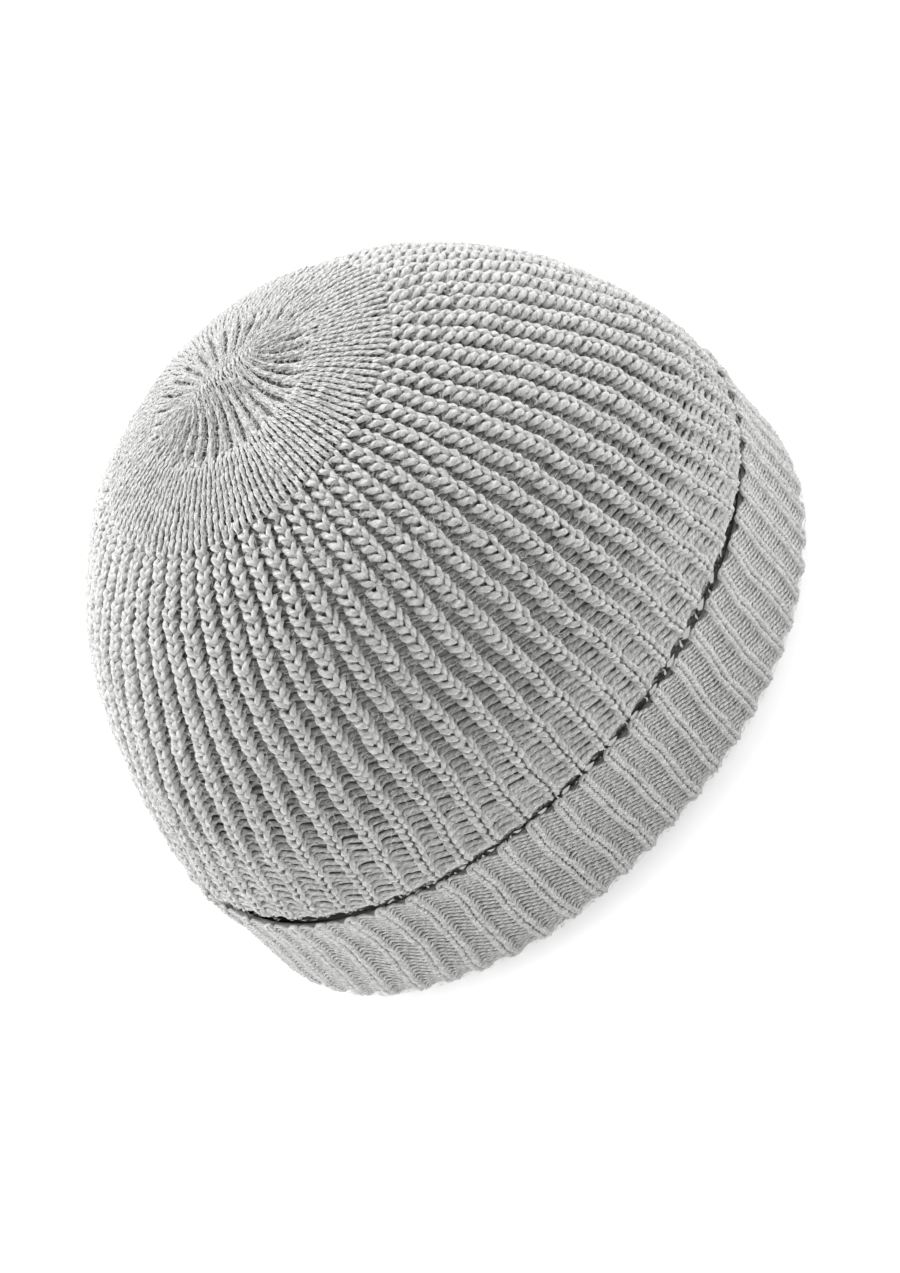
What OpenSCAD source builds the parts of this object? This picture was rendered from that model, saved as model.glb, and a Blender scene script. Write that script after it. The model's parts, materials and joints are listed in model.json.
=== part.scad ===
// Rib-knit beanie with a turned-up cuff, standing on the fold of its brim.
// +Z is up, +X points to the forehead and the back seam is on the -X side.

/* [Head fit] */
// Mean outside radius that the dome would reach at its widest, before it is made oval
dome_r = 96; // [90:0.5:104]
// How much longer than round the beanie is front to back, as on a head
oval = 1.11; // [1:0.01:1.16]
// Height from the brim fold to the top of the crown
total_h = 154; // [145:1:170]

/* [Dome shape] */
// Height at which the dome would be widest
widest_z = 14; // [8:1:20]
// Squareness of the dome from the side, where 2 is an ellipse
side_power = 2.1; // [2:0.05:2.6]
// Squareness of the dome's shoulder, where 2 is an ellipse
shoulder_power = 2.3; // [2:0.05:2.6]

/* [Knitted layers] */
// Thickness of the chunky rib
rib_t = 4; // [3:0.1:4.5]
// Thickness of the plain-knit crown
crown_t = 3; // [2.5:0.1:3.5]
// Height of the turned-up cuff
cuff_h = 41; // [35:1:50]
// Mean outside radius of the cuff
cuff_r = 94; // [93.5:0.1:94.5]
// Air between the cuff and the layer behind it
layer_gap = 0.5; // [0.3:0.1:0.8]
// Height of the rounded fold at the bottom
fold_h = 5; // [4:0.5:6]
// Corner radius of the fold, outside its flat underside
fold_round = 2; // [1.5:0.1:2.5]
// Height of the welt along the cuff's free edge
welt_h = 2.5; // [2:0.1:4]

/* [Crown] */
// Mean radius at which the rib changes to plain knit
plain_ring_r = 46; // [42:1:50]
// Mean radius of the ring where the stitches are knitted together in pairs
decrease_ring_r = 25; // [20:1:30]
// Mean radius of the gathered button at the centre
button_r = 6; // [5:0.5:8]

/* [Draw yarn] */
// Thickness of the yarn that gathers the crown
yarn_d = 2; // [1.5:0.1:2.5]
// Radius of the ring that the draw yarn makes under the crown
draw_ring_r = 5; // [4:0.1:6]
// Size of its knot
knot_d = 6; // [5:0.5:8]

/* [Back seam] */
// Angle that the seam takes up in the rib layers, in degrees
seam_angle = 2; // [1:0.5:3]
// How far the seam stands into the hat
seam_ridge = 1.5; // [1:0.1:2]
// Width of the seam under the crown
seam_w = 3; // [2:0.5:4]

/* [Care label] */
// Length of the free flap
label_len = 30; // [24:1:34]
// Height of the label
label_h = 18; // [14:1:20]
// Thickness of the folded label tape
label_t = 0.8; // [0.6:0.1:1]
// Width of the margin that is sewn to the seam
margin_w = 12; // [10:1:14]
// Height of the label's lower edge
label_z = 10; // [8:1:14]
// How far the flap stands off the wall at rest, in degrees
label_rest = 14; // [12:1:30]

/* [Hidden] */
$fn = 96;

// Layers of the brim, from the outside in
cuff_in_r = cuff_r - rib_t;
brim_r = cuff_in_r - layer_gap;
brim_in_r = brim_r - rib_t;
// The body leaves the brim here, hidden behind the cuff
body_z = cuff_h - 7;
// It swells out to the dome between these heights, over the cuff's edge
swell_from = cuff_h - 1;
swell_to = cuff_h + 11;
dome_h = total_h - widest_z;

// Points of the meridian in each stretch of the outside, from the brim up
swell_steps = 8;
body_steps = 12;
crown_steps = 4;
gather_steps = 4;
button_steps = 2;

// Mean radius of the dome's outside at a height
function dome_at(z) = dome_r * pow(1 - pow((z - widest_z) / dome_h, side_power), 1 / shoulder_power);
// Height of the dome's outside at a mean radius
function dome_z(r) = widest_z + dome_h * pow(1 - pow(r / dome_r, shoulder_power), 1 / side_power);
// 0 to 1 with level ends
function ease(t) = t * t * (3 - 2 * t);
function swell_at(z) = let (t = (z - swell_from) / (swell_to - swell_from))
    t <= 0 ? brim_r : brim_r + (dome_at(z) - brim_r) * ease(min(t, 1));
// Even steps of the slope angle between two radii of the dome, the second one left out
function dome_arc(r1, r2, n) = [for (i = [0:n - 1])
    let (a1 = acos(r1 / dome_r), a2 = acos(r2 / dome_r), r = dome_r * cos(a1 + (a2 - a1) * i / n))
    [r, dome_z(r)]];

// The outside of the body and crown as [mean radius, height], from behind the cuff to the apex
outside = concat(
    [[brim_r, body_z]],
    [for (i = [0:swell_steps - 1]) let (z = swell_from + (swell_to - swell_from) * i / swell_steps)
        [swell_at(z), z]],
    dome_arc(dome_at(swell_to), plain_ring_r, body_steps),
    dome_arc(plain_ring_r, decrease_ring_r, crown_steps),
    dome_arc(decrease_ring_r, button_r, gather_steps),
    dome_arc(button_r, 0, button_steps),
    [[0, total_h]]);
plain_i = 1 + swell_steps + body_steps;
decrease_i = plain_i + crown_steps;
button_i = decrease_i + gather_steps;
apex_i = button_i + button_steps;

// Direction square to the meridian at a point, pointing into the hat
function inward_at(i) = i == 0 ? [-1, 0] : i == apex_i ? [0, -1] :
    let (d = outside[i + 1] - outside[i - 1]) [-d[1], d[0]] / norm(d);
function layer_t(i) = i <= plain_i ? rib_t + (crown_t - rib_t) * max(0, i - plain_i + 3) / 3 : crown_t;
// The meridian from one index to another, moved a depth beyond the inside of the fabric
function inside_run(a, b, depth) = [for (i = [a:b]) outside[i] + (layer_t(i) + depth) * inward_at(i)];
function outside_run(a, b) = [for (i = [a:b]) outside[i]];
function reversed(p) = [for (i = [len(p) - 1:-1:0]) p[i]];
function band(a, b, depth = 0) = concat(outside_run(a, b), reversed(inside_run(a, b, depth)));
function box2(r1, r2, z1, z2) = [[r1, z1], [r2, z1], [r2, z2], [r1, z2]];
// The same meridian as it lies in the XZ plane at the back of the oval
function at_back(p) = [for (q = p) [-q[0] * oval, q[1]]];

module to_oval() {
    scale([oval, 1 / oval, 1]) children();
}

// Part of a ring of fabric from its section, from one angle to another, in equal sectors
module part_ring(section, from, to, sectors = 4) {
    step = (to - from) / sectors;
    for (i = [0:sectors - 1])
        to_oval() rotate([0, 0, from + step * i]) rotate_extrude(angle = step) polygon(section);
}

module ring(section) {
    part_ring(section, 0, 360);
}

// A ring of fabric that is open at the back, where the seam joins its edges
module open_ring(section, sectors = 4) {
    part_ring(section, seam_angle / 2 - 180, 180 - seam_angle / 2, sectors);
}

// The strip of seam that closes such a ring
module seam_strip(section) {
    to_oval() rotate([0, 0, 180 - seam_angle / 2]) rotate_extrude(angle = seam_angle) polygon(section);
}

// Its left and right halves meet at the forehead
module body_panel() {
    color([0.70, 0.70, 0.69]) open_ring(band(0, plain_i), sectors = 2);
}

module crown_panel() {
    color([0.80, 0.80, 0.79]) ring(band(plain_i, decrease_i));
}

module crown_gather() {
    color([0.74, 0.74, 0.73]) ring(band(decrease_i, button_i));
}

module crown_button() {
    color([0.86, 0.86, 0.85]) ring(band(button_i, apex_i));
}

module brim_inner_layer() {
    color([0.60, 0.60, 0.59]) open_ring(box2(brim_in_r, brim_r, fold_h, body_z));
}

// A quarter circle under the fold, from an angle on
function fold_corner(r, start) = [for (a = [start:15:start + 90])
    [r + fold_round * cos(a), fold_round + fold_round * sin(a)]];

// Flat underneath, with round corners into both layers
module brim_fold() {
    color([0.66, 0.66, 0.65]) ring(concat(
        fold_corner(brim_in_r + fold_round, 180),
        fold_corner(cuff_r - fold_round, 270),
        [[cuff_r, fold_h], [brim_in_r, fold_h]]));
}

module cuff() {
    color([0.72, 0.72, 0.71]) open_ring(box2(cuff_in_r, cuff_r, fold_h, cuff_h - welt_h));
}

// The cuff's free edge, round on top
module cuff_welt() {
    welt_r = min(rib_t / 2, welt_h) - 0.01;
    mid_r = (cuff_in_r + cuff_r) / 2;
    color([0.62, 0.62, 0.61]) ring(concat(
        [[cuff_in_r, cuff_h - welt_h], [cuff_r, cuff_h - welt_h]],
        [for (a = [0:20:180]) [mid_r + rib_t / 2 * cos(a), cuff_h - welt_r + welt_r * sin(a)]]));
}

module seam_body() {
    color([0.55, 0.55, 0.54]) seam_strip(band(0, plain_i, seam_ridge));
}

// Lies against the inside of the crown, from the body's seam to the button
module seam_crown() {
    near = inside_run(plain_i, button_i, 0.1);
    far = inside_run(plain_i, button_i, 0.1 + seam_ridge);
    color([0.55, 0.55, 0.54]) translate([0, seam_w / 2, 0]) rotate([90, 0, 0])
        linear_extrude(seam_w) polygon(at_back(concat(near, reversed(far))));
}

module seam_brim() {
    color([0.55, 0.55, 0.54]) seam_strip(box2(brim_in_r - seam_ridge, brim_r, fold_h, body_z));
}

module seam_cuff() {
    color([0.55, 0.55, 0.54]) seam_strip(box2(cuff_in_r, cuff_r, fold_h, cuff_h - welt_h));
}

// Drawn through the last stitches and lying under the gather
draw_z = total_h - crown_t - yarn_d / 2 - 0.8;
module draw_yarn_ring() {
    color([0.82, 0.82, 0.80]) translate([0, 0, draw_z])
        rotate_extrude() translate([draw_ring_r, 0]) circle(d = yarn_d, $fn = 24);
}

knot_z = draw_z - yarn_d / 2 - knot_d * 0.5 - 0.1;
module draw_yarn_knot() {
    color([0.82, 0.82, 0.80]) translate([0, 0, knot_z]) sphere(d = knot_d, $fn = 32);
}

// Route of the tail: from the knot out to the seam, then down beside it
tail_y = seam_w / 2 + yarn_d / 2 + 0.3;
tail_depth = yarn_d / 2 + 0.4;
tail_runs = inside_run(decrease_i - 3, button_i - 1, tail_depth);
tail_route = concat([[-knot_d / 2 - 0.9, tail_y * 0.4, knot_z], [-knot_d, tail_y * 0.8, knot_z + 0.3]],
    [for (p = reversed(tail_runs)) [-p[0] * oval, tail_y, p[1]]]);
tail_sides = 8;

// One ring of the tail's tube, square to the route
function tail_ring(i) =
    let (n = len(tail_route), a = tail_route[max(0, i - 1)], b = tail_route[min(n - 1, i + 1)],
        d = (b - a) / norm(b - a), side = cross([0, 1, 0], d), u = side / norm(side), v = cross(d, u))
    [for (k = [0:tail_sides - 1]) let (t = 360 * k / tail_sides)
        tail_route[i] + yarn_d / 2 * (cos(t) * u + sin(t) * v)];

module draw_yarn_tail() {
    n = len(tail_route);
    points = [for (i = [0:n - 1]) each tail_ring(i)];
    walls = [for (i = [0:n - 2], k = [0:tail_sides - 1])
        let (m = (k + 1) % tail_sides, lo = i * tail_sides, hi = lo + tail_sides)
        [lo + k, hi + k, hi + m, lo + m]];
    near_end = [for (k = [0:tail_sides - 1]) k];
    far_end = [for (k = [tail_sides - 1:-1:0]) (n - 1) * tail_sides + k];
    color([0.82, 0.82, 0.80]) polyhedron(points, concat(walls, [near_end, far_end]), convexity = 4);
}

// The label's sewn margin lies on the crest of the brim's seam
margin_x = -(brim_in_r - seam_ridge) * oval + 0.05;
hinge_x = margin_x + label_t + 0.75;
module label_margin() {
    color("white") translate([margin_x, -margin_w / 2, label_z]) cube([label_t, margin_w, label_h]);
}

// Short upright stitches along both sides of the margin
module label_stitches() {
    stitch_r = 0.3;
    stitch_l = 3;
    rows = 4;
    for (side = [-1, 1], i = [0:rows - 1]) {
        z = label_z + label_h * (i + 0.5) / rows - stitch_l / 2;
        color("gray") translate([margin_x + label_t + stitch_r + 0.02, side * (margin_w / 2 - 1.5), z])
            cylinder(r = stitch_r, h = stitch_l, $fn = 24);
    }
}

// The free flap, round where it bends
module care_label() {
    color("white") translate([hinge_x, 0, label_z]) rotate([0, 0, -label_rest]) union() {
        cylinder(d = label_t, h = label_h, $fn = 32);
        translate([-label_t / 2, 0, 0]) cube([label_t, label_len, label_h]);
    }
}

body_panel();
crown_panel();
crown_gather();
crown_button();
brim_inner_layer();
brim_fold();
cuff();
cuff_welt();
seam_body();
seam_crown();
seam_brim();
seam_cuff();
draw_yarn_ring();
draw_yarn_knot();
draw_yarn_tail();
label_margin();
label_stitches();
care_label();
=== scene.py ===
"""A light grey rib-knit beanie with a turned-up cuff, knitted here yarn by yarn.

Lengths are in millimetres until a mesh is made, which is in metres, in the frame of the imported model: +Z is
up, +X points to the forehead and the back seam is on the -X side. A point of the fabric is given by three
numbers: its share of the way round, from the seam, its distance along the meridian, and its height above
the fabric's skin.
"""

import json
import math

import bpy
import numpy as np
from mathutils import Matrix, Vector


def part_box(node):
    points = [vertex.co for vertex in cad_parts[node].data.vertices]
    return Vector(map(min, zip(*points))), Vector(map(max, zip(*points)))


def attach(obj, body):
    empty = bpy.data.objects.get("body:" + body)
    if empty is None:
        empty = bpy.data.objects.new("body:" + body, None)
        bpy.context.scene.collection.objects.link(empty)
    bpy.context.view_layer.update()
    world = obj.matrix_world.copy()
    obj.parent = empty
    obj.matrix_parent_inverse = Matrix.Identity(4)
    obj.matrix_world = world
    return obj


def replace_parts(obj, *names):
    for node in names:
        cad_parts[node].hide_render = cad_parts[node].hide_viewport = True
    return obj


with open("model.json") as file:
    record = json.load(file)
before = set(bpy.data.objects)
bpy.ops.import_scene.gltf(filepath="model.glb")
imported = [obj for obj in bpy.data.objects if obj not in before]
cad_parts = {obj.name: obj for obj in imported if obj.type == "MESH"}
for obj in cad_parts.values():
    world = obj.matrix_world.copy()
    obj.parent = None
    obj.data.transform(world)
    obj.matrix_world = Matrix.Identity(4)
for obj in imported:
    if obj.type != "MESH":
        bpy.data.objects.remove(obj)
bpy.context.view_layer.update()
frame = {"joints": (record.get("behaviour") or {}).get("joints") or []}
MM = 0.001
TAU = 2 * math.pi
rng = np.random.default_rng(7)


# ---------------------------------------------------------------- sizes, from the frame
def size_mm(node):
    """The lowest and highest corners of a CAD node, in millimetres."""
    low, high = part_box(node)
    return np.array(low) / MM, np.array(high) / MM


def mean_radius(node):
    """Mean radius of an oval node: the root of its half-length times its half-width, in millimetres."""
    high = size_mm(node)[1]
    return math.sqrt(high[0] * high[1])


CUFF_HI = size_mm("cuff")[1]
CUFF_R = mean_radius("cuff")
OVAL = math.sqrt(CUFF_HI[0] / CUFF_HI[1])
CUFF_H = size_mm("cuff_welt")[1][2]
TOTAL_H = size_mm("crown_button")[1][2]
BRIM_R = mean_radius("brim_inner_layer")
BODY_Z = size_mm("brim_inner_layer")[1][2]
PLAIN_R = mean_radius("crown_panel")
DECREASE_R = mean_radius("crown_gather")
BUTTON_R = mean_radius("crown_button")

# The dome's own formula, as in the CAD source
DOME_R = 96.0
WIDEST_Z = 14.0
SIDE_POWER = 2.1
SHOULDER_POWER = 2.3
SWELL = (CUFF_H - 3.8, CUFF_H + 3.0)
DOME_H = TOTAL_H - WIDEST_Z

# Knitting: ribs round the hat, and the spacing of courses. The body's is given from the cuff (0) to the
# crown (1)
RIBS = 62
BODY_COURSES = [(0, 2.1), (0.25, 2.55), (0.5, 2.85), (0.75, 3.25), (1, 3.8)]
CROWN_COURSE = 2.3
GATHER_COURSE = 2.1
CUFF_COURSE = 1.45
BRIM_COURSE = 2.0
INSIDE_COURSE = 4.2

# Width of a rib in millimetres, which turns a sideways drift into a share of the way round
BODY_RIB = 8.0
CUFF_RIB = 6.5

# Courses in one piece, so that no piece has too many faces
PIECE_COURSES = 14


# ---------------------------------------------------------------- the shape that the fabric lies on
def ease(t):
    """0 to 1 with level ends."""
    t = np.clip(t, 0, 1)
    return t * t * (3 - 2 * t)


def dome_r(z):
    """Mean radius of the dome's skin at a height: a superellipse."""
    up = np.clip((z - WIDEST_Z) / DOME_H, 0, 1)
    return DOME_R * (1 - up**SIDE_POWER) ** (1 / SHOULDER_POWER)


def dome_z(r):
    """Height of the dome's skin at a mean radius."""
    return WIDEST_Z + DOME_H * (1 - (r / DOME_R) ** SHOULDER_POWER) ** (1 / SIDE_POWER)


class Meridian:
    """A run of mean radii and heights, read by the distance along it, with the way that is out of it."""

    def __init__(self, r, z):
        step = np.hypot(np.diff(r), np.diff(z))
        self.s = np.concatenate([[0], np.cumsum(step)])
        self.r, self.z = r, z
        self.length = self.s[-1]
        tangent_r = np.gradient(r, self.s)
        tangent_z = np.gradient(z, self.s)
        size = np.hypot(tangent_r, tangent_z)
        self.out_r, self.out_z = tangent_z / size, -tangent_r / size

    def at(self, s):
        """Radius, height and outward direction at distances along the run, straight on past its ends."""
        inside = np.clip(s, 0, self.length)
        over = s - inside
        out_r = np.interp(inside, self.s, self.out_r)
        out_z = np.interp(inside, self.s, self.out_z)
        r = np.interp(inside, self.s, self.r) - over * out_z
        z = np.interp(inside, self.s, self.z) + over * out_r
        return r, z, out_r, out_z

    def where_r(self, r):
        """Distance at which the run last has a radius."""
        return float(np.interp(-r, -self.r[self.r.argmax():], self.s[self.r.argmax():]))


def body_meridian():
    """Up from behind the cuff, out over its edge, then the dome to the apex."""
    low_z = np.linspace(BODY_Z, SWELL[1], 60)
    low_r = BRIM_R + (dome_r(low_z) - BRIM_R) * ease((low_z - SWELL[0]) / (SWELL[1] - SWELL[0]))
    angle = np.linspace(math.acos(dome_r(np.array(SWELL[1])) / DOME_R), math.pi / 2, 240)[1:]
    high_r = DOME_R * np.cos(angle)
    high_r[-1] = 0
    return Meridian(np.concatenate([low_r, high_r]), np.concatenate([low_z, dome_z(high_r)]))


BODY = body_meridian()

# Even spacing round the oval: the turn that a share of the way round stands for
_turn = np.linspace(0, TAU, 8193)
_steps = np.hypot(np.diff(OVAL * np.cos(_turn)), np.diff(np.sin(_turn) / OVAL))
_round = np.concatenate([[0], np.cumsum(_steps)])
OVAL_LENGTH = _round[-1]


def turn_of(share):
    """Angle round the oval at a share of the way round from the back, spaced evenly along the oval."""
    return np.interp(((share + 0.5) % 1) * OVAL_LENGTH, _round, _turn)


# The crown is gathered into a slit along the hat, this far each way from the middle, and turned a little.
# It is felt within SLIT_REACH of the middle, and the ridge along it has a height, a half-width and a
# half-length
SLIT = 10.5
SLIT_TURN = math.radians(-19)
SLIT_REACH = 40.0
RIDGE = 3.2
RIDGE_WIDE = 7
RIDGE_REACH = 28


def lay(run, share, along, height):
    """Points in millimetres of a share round, a distance along a run and a height over it, and the outward
    normals.

    The point is the run's own, moved out along its normal, then turned round and stretched into the oval.
    Near the apex a circle of radius r becomes an ellipse of half-axes sqrt(r^2 + c^2) and r, so that the
    wales run in to a slit of half-length c rather than to a point, and the cloth stands up in a low ridge
    along it."""
    r, z, out_r, out_z = run.at(along)
    turn = turn_of(share)
    reach = r + height * out_r
    c, s = np.cos(turn), np.sin(turn)
    near = np.maximum(1 - np.maximum(reach, 0) / SLIT_REACH, 0) * (z > CUFF_H)
    slit = SLIT * ease(near)
    long_c, across_s = np.cos(turn - SLIT_TURN), np.sin(turn - SLIT_TURN)
    stretch = np.sqrt(reach**2 + slit**2)
    u, v = np.where(near > 0, stretch, reach) * long_c, reach * across_s
    x = u * math.cos(SLIT_TURN) - v * math.sin(SLIT_TURN)
    y = u * math.sin(SLIT_TURN) + v * math.cos(SLIT_TURN)
    crest = RIDGE * np.exp(-((v / RIDGE_WIDE) ** 2)) * ease(1 - np.abs(u) / RIDGE_REACH)
    ridge = np.where(near > 0, crest, 0)
    point = np.stack([OVAL * x, y / OVAL, z + height * out_z + ridge], -1)
    normal = np.stack([out_r * c / OVAL, out_r * s * OVAL, out_z], -1)
    return point, normal / np.linalg.norm(normal, axis=-1, keepdims=True)


def bump_at(share, centre, width):
    """1 at a share of the way round, falling to 0 at a width on either side of it."""
    gap = np.abs((share - centre + 0.5) % 1 - 0.5)
    return ease(1 - gap / width)


def slack(share, s, top):
    """How far the cloth stands off the plain dome, and the sideways drift of its wales, both in millimetres.

    Low waves whose crests wander, as in cloth that was pulled on and off, and the places where it sags."""
    a = TAU * share
    lift = (0.45 * np.sin(2 * a + 0.055 * s + 0.7) + 0.3 * np.sin(5 * a - 0.07 * s + 2.0)
            + 0.2 * np.sin(8 * a + 0.11 * s))
    drift = (0.35 * np.sin(3 * a + 0.09 * s + 1.1) + 0.25 * np.sin(7 * a - 0.16 * s + 0.4)
             + 0.15 * np.sin(13 * a + 0.31 * s))
    return lift * np.clip((top - s) / 30, 0, 1), drift


# ---------------------------------------------------------------- yarn
def smooth_noise(shape, spread, amount):
    """Random numbers of a shape, blurred round its last axis over a spread of places, with a standard
    deviation."""
    n = shape[-1]
    wave = np.fft.rfftfreq(n) * n
    keep = np.exp(-0.5 * (wave * spread / n * TAU / 2) ** 2)
    values = np.fft.irfft(np.fft.rfft(rng.standard_normal(shape), axis=-1) * keep, n, axis=-1)
    return amount * values / (values.std() + 1e-9)


def tubes(name, points, normals, radius, sides=6, closed=True, twist_mm=5.0, oval_by=0.18, start=0.0):
    """One mesh of many yarns. points is (yarns, places, 3) in millimetres, radius the same without the 3.

    Each place gets a ring of corners in the plane square to the path, at angles from the outward normal.
    The ring is a little oval and turns once in twist_mm, as two plies twisted together do. The UV map holds
    the distance along the yarn in centimetres and the share of the way round it."""
    yarns, places = points.shape[:2]
    if closed:
        ahead, behind = np.roll(points, -1, 1), np.roll(points, 1, 1)
    else:
        ahead = np.concatenate([points[:, 1:], 2 * points[:, -1:] - points[:, -2:-1]], 1)
        behind = np.concatenate([2 * points[:, :1] - points[:, 1:2], points[:, :-1]], 1)
    tangent = ahead - behind
    tangent /= np.linalg.norm(tangent, axis=-1, keepdims=True) + 1e-9
    up = normals - (normals * tangent).sum(-1, keepdims=True) * tangent
    up /= np.linalg.norm(up, axis=-1, keepdims=True) + 1e-9
    side = np.cross(tangent, up)
    step = np.linalg.norm(ahead - points, axis=-1)
    distance = np.concatenate([np.zeros((yarns, 1)), np.cumsum(step, 1)], 1)
    angle = np.arange(sides) / sides * TAU
    turn = distance[:, :-1, None] / twist_mm * TAU
    across = radius[..., None] * (1 + oval_by * np.cos(2 * (angle - turn)))
    corner = (points[:, :, None] + (across * np.cos(angle))[..., None] * up[:, :, None]
              + (across * np.sin(angle))[..., None] * side[:, :, None])
    corner = corner.reshape(-1, 3) * MM
    spans = places if closed else places - 1
    y, p, k = np.meshgrid(np.arange(yarns), np.arange(spans), np.arange(sides), indexing="ij")
    p2, k2 = (p + 1) % places, (k + 1) % sides

    def corner_at(place, way_round):
        return (y * places + place) * sides + way_round

    quads = np.stack([corner_at(p, k), corner_at(p, k2), corner_at(p2, k2), corner_at(p2, k)], -1)
    quads = quads.reshape(-1, 4)
    offset = np.broadcast_to(start + np.arange(yarns)[:, None, None] * 0.37, y.shape)
    u0 = np.take_along_axis(distance, p[:, :, 0], 1)[:, :, None] / 10 + offset
    u1 = np.take_along_axis(distance, p[:, :, 0] + 1, 1)[:, :, None] / 10 + offset
    u0, u1 = np.broadcast_to(u0, y.shape), np.broadcast_to(u1, y.shape)
    v0, v1 = k / sides, (k + 1) / sides
    uv = np.stack([np.stack([u0, v0], -1), np.stack([u0, v1], -1),
                   np.stack([u1, v1], -1), np.stack([u1, v0], -1)], -2)
    uv_rows = [uv.reshape(-1, 2)]
    ends = None
    if not closed:
        first = (np.arange(yarns)[:, None] * places) * sides + np.arange(sides)[::-1]
        last = (np.arange(yarns)[:, None] * places + places - 1) * sides + np.arange(sides)
        ends = np.concatenate([first, last])
        uv_rows.append(np.zeros((ends.size, 2)))
    return mesh_object(name, corner, quads, np.concatenate(uv_rows), ends)


def mesh_object(name, corner, quads, uv=None, caps=None):
    """An object from corners in metres and faces of four corners, with caps of any one number of corners."""
    loops = quads.ravel() if caps is None else np.concatenate([quads.ravel(), caps.ravel()])
    sizes = np.full(len(quads), quads.shape[1])
    if caps is not None:
        sizes = np.concatenate([sizes, np.full(len(caps), caps.shape[1])])
    mesh = bpy.data.meshes.new(name)
    mesh.vertices.add(len(corner))
    mesh.vertices.foreach_set("co", corner.astype(np.float32).ravel())
    mesh.loops.add(len(loops))
    mesh.loops.foreach_set("vertex_index", loops.astype(np.int32))
    mesh.polygons.add(len(sizes))
    mesh.polygons.foreach_set("loop_start", np.concatenate([[0], np.cumsum(sizes)[:-1]]).astype(np.int32))
    mesh.polygons.foreach_set("use_smooth", np.ones(len(sizes), bool))
    if uv is not None:
        layer = mesh.uv_layers.new(name="yarn")
        layer.uv.foreach_set("vector", uv.astype(np.float32).ravel())
    mesh.update(calc_edges=True)
    mesh.validate()
    obj = bpy.data.objects.new(name, mesh)
    bpy.context.scene.collection.objects.link(obj)
    return obj


def between(knots):
    """Twice as many places round each closed yarn: the midpoint of a cubic through four knots goes between
    each two."""
    ahead, beyond, behind = np.roll(knots, -1, 1), np.roll(knots, -2, 1), np.roll(knots, 1, 1)
    middle = (9 * (knots + ahead) - behind - beyond) / 16
    return np.stack([knots, middle], 2).reshape(knots.shape[0], -1, *knots.shape[2:])


def knit(run, along, wales, share_at, look, fine=1, wobble=0.13):
    """Centre lines, outward normals and radii of one closed yarn for each course of a run of fabric.

    A stitch has ten knots: the strand across the recess to the next wale (0 middle, 1 and 9 its sides), the
    foot (2, 8), middle (3, 7) and top (4, 6) of each leg, and the head (5), which lies behind the next
    stitch. Across the fabric a knot is a distance from the middle of the recess, along it a distance from
    the course's line, and its height is over the skin. look gives these distances, as a number or one
    number for each course. foot and top are half the gap between the legs at those knots, over moves the
    feet and the right leg sideways, short draws the right leg's top in, bow rounds the legs, skew and slant
    lean the legs and the strand, uneven makes the left leg thicker, and deep, foot_deep, top_deep and
    head_deep are how far each knot lies under the leg."""
    courses = len(along)
    value = {k: np.broadcast_to(np.asarray(v, float), courses)[:, None] for k, v in look.items()}
    pitch = np.maximum(run.at(along)[0], 0.5)[:, None] * OVAL_LENGTH / wales
    half = pitch / 2

    def wander(amount):
        return smooth_noise((courses, wales), 1.0, amount)

    zero = np.zeros((courses, wales))
    foot, top, leg_r, thin_r = value["foot"], value["top"], value["leg_r"], value["thin_r"]
    reach = half - foot
    uneven = value["uneven"]
    over = value["over"]
    far = top * (1 - value["short"])
    x = [zero, 0.55 * reach, reach + over, half - (foot + top) / 2 - value["bow"] + over / 2, half - top,
         half,
         half + far, half + (foot + far) / 2 + value["bow"] + over / 2, half + foot + over,
         2 * half - 0.55 * reach]
    skew = value["skew"]
    y = [value["dip"], value["dip"] * 0.8 + value["slant"], value["foot_y"] + skew, value["leg_y"] + skew,
         value["top_y"] + skew, value["head_y"], value["top_y"] - skew, value["leg_y"] - skew,
         value["foot_y"] - skew, value["dip"] * 0.8 - value["slant"]]
    under = -thin_r - value["deep"]
    h = [under, under * 0.85, -leg_r - value["foot_deep"], -leg_r, -leg_r - value["top_deep"],
         -leg_r - value["head_deep"], -leg_r - value["top_deep"], -leg_r, -leg_r - value["foot_deep"],
         under * 0.85]
    r = [thin_r, thin_r, (thin_r + 2 * leg_r) / 3, leg_r * (1 + uneven), (thin_r + 2 * leg_r) / 3, thin_r,
         (thin_r + 2 * leg_r) / 3, leg_r * (1 - uneven), (thin_r + 2 * leg_r) / 3, thin_r]
    move_x, move_y, move_h, move_r = wander(wobble), wander(wobble), wander(wobble * 0.7), wander(0.05)
    weight = [0.2, 0.5, 0.8, 1, 1, 1, 1, 1, 0.8, 0.5]
    rows = []
    for k in range(10):
        rows.append(np.stack([zero + x[k] + weight[k] * move_x + wander(wobble * 0.35),
                              zero + y[k] + weight[k] * move_y,
                              zero + h[k] + weight[k] * move_h + wander(wobble * 0.3),
                              (zero + r[k]) * (1 + move_r)], -1))
    knots = np.stack(rows, 2)
    wale = np.arange(wales)[None, :, None]
    share = (wale + knots[..., 0] / pitch[..., None]) / wales
    knots[..., 0] = share
    knots = knots.reshape(courses, -1, 4)
    # The share goes up by one over the round, so only what is left of it goes round
    places = knots.shape[1]
    for _ in range(fine):
        ramp = np.arange(places) / places
        knots[..., 0] -= ramp
        knots = between(knots)
        places = knots.shape[1]
        knots[..., 0] += np.arange(places) / places
    share = knots[..., 0]
    s = along[:, None] + knots[..., 1]
    share, s, lift = share_at(share, s)
    point, normal = lay(run, share, s, knots[..., 2] + lift)
    return point, normal, knots[..., 3]


def by(stops, at):
    """Numbers read off a list of (place, number) stops, on straight lines between them."""
    places, numbers = zip(*stops)
    return np.interp(at, places, numbers)


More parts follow.
